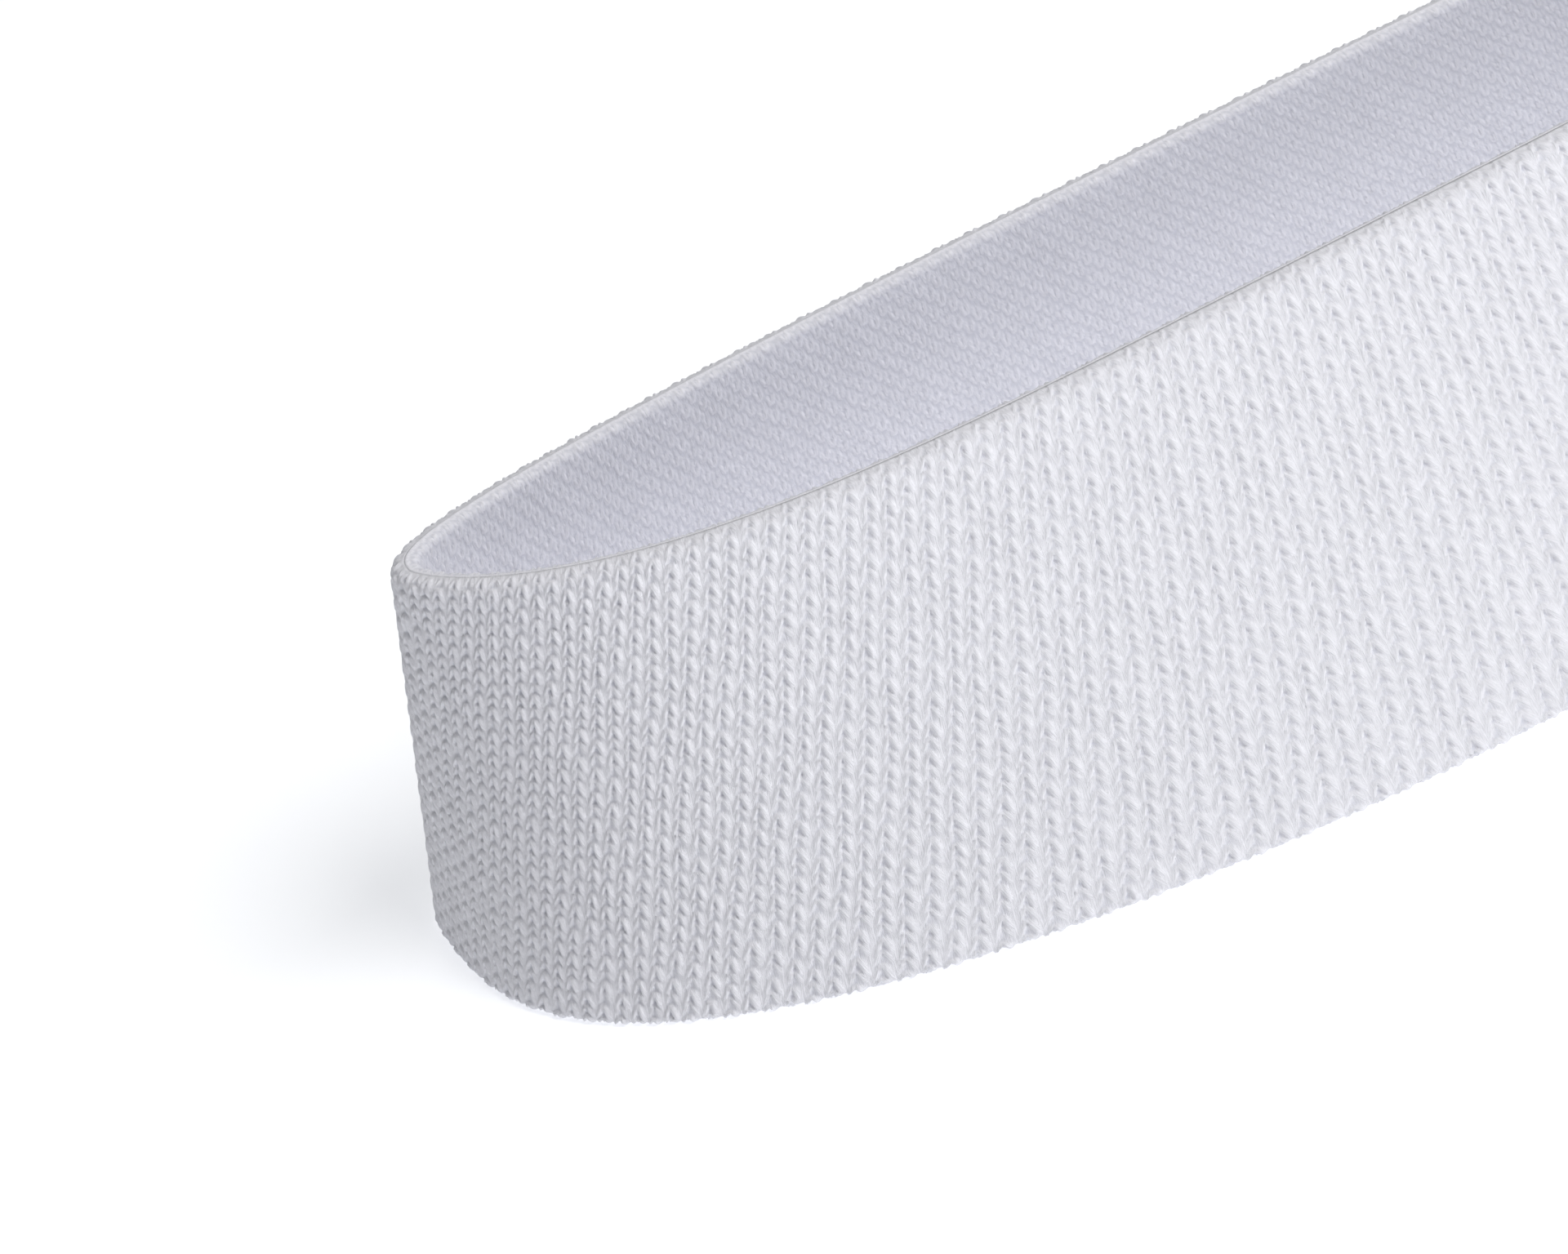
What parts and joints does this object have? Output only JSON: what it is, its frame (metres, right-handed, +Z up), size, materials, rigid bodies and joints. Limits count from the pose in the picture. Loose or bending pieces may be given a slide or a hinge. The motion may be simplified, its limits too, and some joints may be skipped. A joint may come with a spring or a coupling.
{
  "type": "sports headband",
  "caption": "Soft, stretchy double-layered knitted loop that is worn round the head to keep sweat and hair off the face.",
  "frame": {"origin": "middle of the lower edge's outline, on the surface that the loop stands on", "axes": "+Z up across the band's width; X along the loop's long direction; -Y towards the more bowed wall, +Y towards the straighter wall"},
  "size_m": [0.2029, 0.0741, 0.047],
  "materials": {
    "outer_yarn": "matte coarse knit",
    "lining_yarn": "matte fine knit",
    "elastic": "matte",
    "seam_thread": "twisted thread",
    "label_tape": "satin tape"
  },
  "bodies": {
    "root": {"outer_knit": "outer_yarn", "lining_knit": "lining_yarn", "elastic_yarns": "elastic", "linking_seam": "seam_thread", "care_label": "label_tape", "label_stitches": "seam_thread"}
  },
  "joints": []
}
